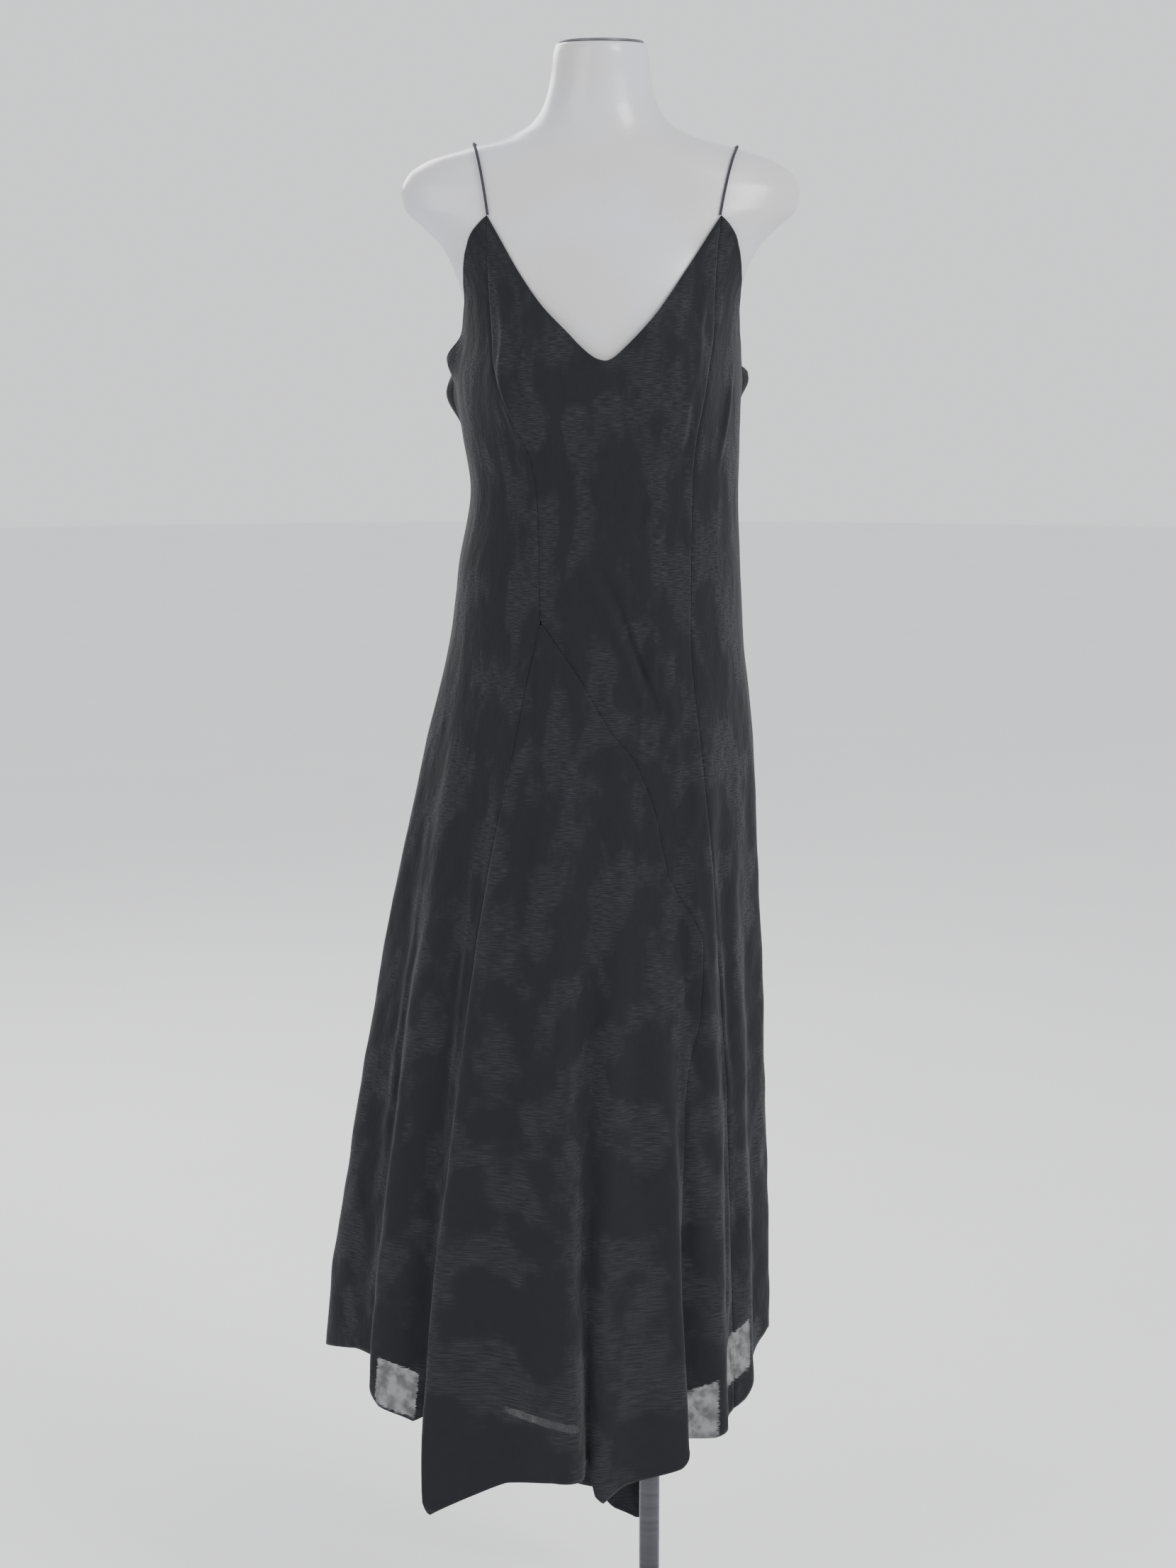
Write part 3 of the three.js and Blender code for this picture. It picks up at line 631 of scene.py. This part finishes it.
@dataclass
class BiasDress:
    """The dress: its surface, its panels and its straps."""

    centre: float = -51.0
    wall: float = 0.9
    seam_gap: float = 0.2
    strap_height: float = 1558.0
    v_height: float = 1417.0
    apex: float = 1158.0
    hem_level: float = 230.0
    crinkle: float = 0.35
    waves: Array = field(default_factory=lambda: np.random.default_rng(SEED).uniform(-1, 1, (14, 3)))

    def level(self, height: Array) -> list[Array]:
        """Returns: the dress's reach left, right, front and back, and its roundness, at a height."""
        return [DRESS_LEVELS.read(column, height) for column in DRESS[1:]]

    def ripple(self, turn: Array, height: Array) -> Array:
        """Returns: the small uneven swell of crinkled cloth in mm, more of it lower down."""
        total = np.zeros_like(turn + height)
        for i, (a, b, phase) in enumerate(self.waves):
            pitch = 6 + 3.1 * i
            total = total + np.sin(np.radians(turn) * pitch * (1 + 0.4 * a) + height * 0.012 * (2 + i * 0.8) * b
                                   + phase * math.pi) / (1 + 0.25 * i)
        return total * self.crinkle * (0.5 + 1.3 * smoothstep(1250, 500, height))

    def points(self, turn: Array, height: Array) -> Array:
        """Works out the cloth's outer surface.

        Args:
            turn: degrees round the body.
            height: mm above the floor.

        Returns:
            Places in mm.
        """
        left, right, front, back, power = self.level(height)
        c, s = np.cos(np.radians(turn)), np.sin(np.radians(turn))
        out, side = self.ripple(turn, height), np.zeros_like(turn + height)
        for start_turn, start, hem_turn, width, reach, lean in FLUTES:
            fall = np.clip((start - height) / (start - self.hem_level), 0, 1.15)
            grown = 1 - (1 - np.minimum(fall, 1)) ** 1.5
            bell = np.exp(-(turns_apart(turn, start_turn + (hem_turn - start_turn) * fall) / width) ** 2)
            out = out + reach * grown * bell
            side = side + lean * grown * grown * bell
        for top_turn, top, low_turn, low, width, reach in CREASES:
            fall = np.clip((top - height) / (top - low), 0, 1)
            away = turns_apart(turn, top_turn + (low_turn - top_turn) * fall) / width
            out = out + reach * np.sin(math.pi * fall) ** 2 * np.exp(-away * away)
        x = (right - left) / 2 - (left + right) / 2 * signed_power(c, 2 / power)
        y = -np.where(s >= 0, front, back) * signed_power(s, 2 / power)
        return np.stack([self.centre + x - c * out + s * side, y - s * out - c * side, height + 0 * turn], -1)

    def seam_turn(self, seam: Table, height: Array) -> Array:
        """Returns: the turn of a seam at a height."""
        left, right, _, _, power = self.level(height)
        share = np.clip(((right - left) / 2 - seam.read("across", height)) / ((left + right) / 2), -1, 1)
        return np.degrees(np.arccos(signed_power(share, power / 2)))

    def split_seam(self, upper: Table, lower: Table) -> Reader:
        """Returns: a reader that follows one seam above the godet's point and another below."""
        return lambda height: np.where(height >= self.apex, self.seam_turn(upper, height),
                                       self.seam_turn(lower, height))

    def v_neck(self, share: Array) -> Array:
        """Returns: the neck edge's height across the centre front."""
        small = 0.07
        rise = (np.hypot(2 * share - 1, small) - small) / (math.hypot(1, small) - small)
        return self.v_height + (self.strap_height - self.v_height) * rise

    def sheer(self, turn: Array, height: Array) -> Array:
        """Returns: 1 inside the sheer places, falling to 0 round them."""
        mark = np.zeros_like(turn + height)
        for at, level, half_width, half_height, slope in SHEER:
            across = turns_apart(turn, at) * MM_PER_DEGREE
            up = height - level + slope * across
            distance = np.maximum(np.abs(across) / half_width, np.abs(up) / half_height)
            mark = np.maximum(mark, np.clip(1.5 - distance, 0, 1))
        return mark


@dataclass
class Panel:
    """One cut piece of the dress, between two seams and from its top edge to the hem."""

    node: str
    left: Reader
    right: Reader
    top: Reader
    width: float
    length: float
    area: float
    columns: int
    from_apex: bool = False
    rows: int = 300
    rows_above: float = 0.42
    tip: float = 0.004
    solve_steps: int = 30

    def places(self, dress: BiasDress) -> tuple[Array, Array]:
        """Returns: the turn and height of each grid point, rows running down."""
        share = np.linspace(0, 1, self.columns)[None, :]
        fall = np.linspace(0, 1, self.rows)[:, None]
        low = np.full_like(share, dress.hem_level)
        for _ in range(self.solve_steps):
            turn = self.left(low) * (1 - share) + self.right(low) * share
            low = (low + HEM.straight("height", turn % 360)) / 2
        if self.from_apex:
            height = dress.apex + (low - dress.apex) * (self.tip + (1 - self.tip) * fall)
        else:
            upper = self.rows_above
            high = self.top(share)
            height = np.where(fall < upper, high + (dress.apex - high) * fall / upper,
                              dress.apex + (low - dress.apex) * (fall - upper) / (1 - upper))
        return self.left(height) * (1 - share) + self.right(height) * share, height

    def build(self, dress: BiasDress) -> bpy.types.Object:
        """Builds the panel as a thin closed wall with turned edges and seam hollows.

        Args:
            dress: the dress that it belongs to.

        Returns:
            The panel.
        """
        turn, height = self.places(dress)
        outer = dress.points(turn, height)
        along = dress.points(turn + 0.2, height) - dress.points(turn - 0.2, height)
        up = dress.points(turn, height + 0.8) - dress.points(turn, height - 0.8)
        normal = np.cross(along, up)
        normal /= np.linalg.norm(normal, axis=-1, keepdims=True)
        run = np.concatenate([np.zeros((outer.shape[0], 1)),
                              np.cumsum(np.linalg.norm(np.diff(outer, axis=1), axis=-1), axis=1)], axis=1)
        drop = np.concatenate([np.zeros((1, outer.shape[1])),
                               np.cumsum(np.linalg.norm(np.diff(outer, axis=0), axis=-1), axis=0)], axis=0)
        seam = np.minimum(run, run[:, -1:] - run)
        edge = np.minimum(drop if not self.from_apex else drop + 50, drop[-1:] - drop)
        roll = np.exp(-((edge - 2.2) / 1.5) ** 2) * 0.5
        outer = outer + normal * (roll - 0.9 * np.exp(-(seam / 2.5) ** 2))[..., None]
        for column, step in ((0, 1), (-1, -1)):
            towards = outer[:, column + step] - outer[:, column]
            towards /= np.linalg.norm(towards, axis=-1, keepdims=True)
            outer[:, column] += towards * dress.seam_gap
        inner = outer - normal * (dress.wall + roll * 0.8)[..., None]
        rows, columns = turn.shape
        points = np.concatenate([outer.reshape(-1, 3), inner.reshape(-1, 3)]) * MM
        count = rows * columns
        faces = [grid_quads(rows, columns), grid_quads(rows, columns, count, flip=True)]
        numbers = np.arange(count).reshape(rows, columns)
        for line, flip in ((numbers[0], False), (numbers[-1], True), (numbers[:, 0], True), (numbers[:, -1], False)):
            strip = np.stack([line[:-1], line[1:], line[1:] + count, line[:-1] + count], -1)
            faces.append(strip[:, ::-1] if flip else strip)
        piece = make_mesh("cloth_" + self.node, points, np.concatenate(faces))
        self.map_cloth(piece, turn, height, dress)
        return piece

    def map_cloth(self, piece: bpy.types.Object, turn: Array, height: Array, dress: BiasDress) -> None:
        """Gives the piece its cloth map in metres and its sheer places.

        Args:
            piece: the panel.
            turn: each outer point's turn.
            height: each outer point's height.
            dress: the dress that it belongs to.
        """
        flat = np.stack([turn * MM_PER_DEGREE * MM, height * MM], -1).reshape(-1, 2)
        both = np.concatenate([flat, flat])
        corners = np.zeros(len(piece.data.loops), np.int32)
        piece.data.loops.foreach_get("vertex_index", corners)
        layer = piece.data.uv_layers.new(name="cloth")
        layer.data.foreach_set("uv", both[corners].ravel())
        mark = dress.sheer(turn, height).ravel()
        attribute = piece.data.attributes.new("sheer", "FLOAT", "POINT")
        attribute.data.foreach_set("value", np.concatenate([mark, mark]))


@dataclass
class Strap:
    """A thin turned cord of cloth from the front point over the shoulder to the back edge."""

    node: str
    front: float
    crest: float
    back: float
    radius: float = 1.4
    lift: float = 2.6
    front_gap: float = 0.3
    back_foot: float = 1441.5
    sides: int = 14
    steps: int = 120

    def crest_height(self, across: float) -> float:
        """Returns: the height of the form's shoulder at a distance from its centre."""
        low, high = 1582.0, 1726.7
        for _ in range(40):
            middle = (low + high) / 2
            if float(FORM_LEVELS.read("half", np.array(middle))) > abs(across):
                low = middle
            else:
                high = middle
        return low

    def place(self, share: float, dress: BiasDress, form: DressForm) -> Vector:
        """Returns: a point of the strap's middle line in mm, from -1 at the front to 1 at the back."""
        end = self.front if share < 0 else self.back
        across = self.crest + (end - self.crest) * abs(share) ** 1.3
        from_form = across + dress.centre - form.centre
        top = self.crest_height(from_form)
        foot = dress.strap_height + self.front_gap if share < 0 else self.back_foot
        height = top + (foot - top) * share * share
        half, front, back, power = (float(FORM_LEVELS.read(c, np.array(height))) for c in LEVEL[1:])
        reach = (front if share < 0 else back) + self.lift
        inside = 1 - (abs(from_form) / (half + self.lift * (1 - abs(share)))) ** power
        y = math.copysign(1, share) * reach * max(inside, 0.0) ** (1 / power)
        raised = self.lift * (1 - max(share, 0)) * (1 + min(share, 0))
        return Vector((dress.centre + across, y, height + raised))

    def build(self, dress: BiasDress, form: DressForm) -> bpy.types.Object:
        """Builds the strap as a tube with a faint seam along it.

        Args:
            dress: the dress that it holds.
            form: the form that it lies on.

        Returns:
            The strap.
        """
        knots = [self.place(s, dress, form) for s in np.linspace(-1, 1, 15)]
        path = []
        for k in np.linspace(0, len(knots) - 1, self.steps):
            i = min(int(k), len(knots) - 2)
            t = k - i
            a, b = knots[max(i - 1, 0)], knots[min(i + 2, len(knots) - 1)]
            p, q = knots[i], knots[i + 1]
            path.append(0.5 * (2 * p + (q - a) * t + (2 * a - 5 * p + 4 * q - b) * t * t
                               + (3 * p - a - 3 * q + b) * t**3))
        rings = []
        across = Vector((1, 0, 0))
        for i, point in enumerate(path):
            ahead = (path[min(i + 1, len(path) - 1)] - path[max(i - 1, 0)]).normalized()
            beside = (across - ahead * across.dot(ahead)).normalized()
            over = ahead.cross(beside)
            ring = []
            for j in range(self.sides):
                angle = 2 * math.pi * j / self.sides
                size = self.radius * (1 - 0.1 * (j == 0)) * (1 + 0.04 * math.sin(i * 1.9))
                ring.append(point + (beside * math.cos(angle) + over * math.sin(angle)) * size)
            rings.append(np.array([tuple(p) for p in ring]) * MM)
        return loft("rouleau_" + self.node, rings)


def side_seam(turn: float) -> Reader:
    """Returns: a reader that stays at one turn at every height."""
    return lambda height: turn + 0 * height


def build_dress(wardrobe: Wardrobe, form: DressForm) -> None:
    """Builds the six panels and two straps.

    Args:
        wardrobe: what dresses the pieces.
        form: the form that carries them.
    """
    dress = BiasDress()
    bust_left = dress.split_seam(BUST_SEAM_LEFT, GODET_SEAM_LEFT)
    centre_left = dress.split_seam(BUST_SEAM_LEFT, DIAGONAL_SEAM)
    bust_right = lambda height: dress.seam_turn(BUST_SEAM_RIGHT, height)
    armhole = lambda share: ARMHOLE.read("height", share)
    back_edge = lambda share: BACK_EDGE.read("height", share)
    panels = (
        Panel("front_side_left", side_seam(0), bust_left, armhole, 0.21, 1.26, 0.175, 100),
        Panel("front_centre", centre_left, bust_right, dress.v_neck, 0.28, 1.32, 0.120, 120),
        Panel("front_side_right", bust_right, side_seam(180),
              lambda s: armhole(1 - s), 0.17, 1.25, 0.116, 90),
        Panel("back_right", side_seam(180), side_seam(270),
              lambda s: back_edge(180 + 90 * s), 0.59, 1.34, 0.332, 130),
        Panel("back_left", side_seam(270), side_seam(360),
              lambda s: back_edge(270 + 90 * s), 0.42, 1.28, 0.305, 130),
        Panel("front_godet", lambda h: dress.seam_turn(GODET_SEAM_LEFT, h),
              lambda h: dress.seam_turn(DIAGONAL_SEAM, h),
              armhole, 0.53, 0.92, 0.212, 130, from_apex=True),
    )
    for panel in panels:
        piece = panel.build(dress)
        wardrobe.dress(piece, Finish.CLOTH, panel.node)
    for strap in (Strap("strap_left", -115, -131, -92), Strap("strap_right", 115, 135, 92)):
        wardrobe.dress(strap.build(dress, form), Finish.STRAP, strap.node)


# ---------------------------------------------------------------- studio
@dataclass
class Studio:
    """A pale floor, soft lights and the camera."""

    distance: float = 3.15
    eye: float = 1.53
    across: float = -0.0668
    pitch: float = 10.0
    lens: float = 70.34

    def floor(self) -> None:
        """Lays the pale floor."""
        angle = np.linspace(0, 2 * math.pi, 64, endpoint=False)
        points = np.stack([14 * np.cos(angle), 14 * np.sin(angle), np.full(64, -0.0005)], -1)
        piece = make_mesh("studio_floor", points, [tuple(range(64))])
        paint = Paint("pale_floor")
        grain = paint.noise(paint.place(), 3.0, 2.0)
        piece.data.materials.append(paint.finish({
            "Base Color": paint.mix(grain, (0.86, 0.86, 0.87, 1), (0.9, 0.9, 0.9, 1)), "Roughness": 0.8}))

    def light(self, name: str, place: tuple[float, float, float], size: float, power: float) -> None:
        """Hangs one soft light that faces the object.

        Args:
            name: the light's name.
            place: where it hangs, in metres.
            size: the side of its square.
            power: its strength in watts.
        """
        data = bpy.data.lights.new(name, "AREA")
        data.energy, data.size = power, size
        lamp = bpy.data.objects.new(name, data)
        lamp.location = place
        lamp.rotation_euler = (Vector((0, 0, 1.0)) - Vector(place)).to_track_quat("-Z", "Y").to_euler()
        bpy.context.scene.collection.objects.link(lamp)

    def build(self) -> None:
        """Sets the floor, the lights, the sky and the camera."""
        self.floor()
        self.light("key", (2.6, -2.6, 3.0), 1.6, 120)
        self.light("fill", (-3.0, -2.4, 2.2), 2.4, 45)
        self.light("rim", (-1.5, 2.6, 2.8), 1.8, 60)
        world = bpy.data.worlds.new("studio")
        world.use_nodes = True
        background = world.node_tree.nodes["Background"]
        background.inputs["Color"].default_value = (0.96, 0.97, 1.0, 1)
        background.inputs["Strength"].default_value = 1.15
        bpy.context.scene.world = world
        data = bpy.data.cameras.new("camera")
        data.lens, data.sensor_width = self.lens, 36
        camera = bpy.data.objects.new("camera", data)
        camera.location = (self.across, -self.distance, self.eye)
        camera.rotation_euler = (math.radians(90 - self.pitch), 0, 0)
        bpy.context.scene.collection.objects.link(camera)
        bpy.context.scene.camera = camera


def main() -> None:
    """Builds the object and the studio."""
    logging.basicConfig(level=logging.INFO)
    Studio().build()
    wardrobe = Wardrobe()
    form = DressForm()
    form.build(wardrobe)
    build_dress(wardrobe, form)


if __name__ == "__main__":
    main()
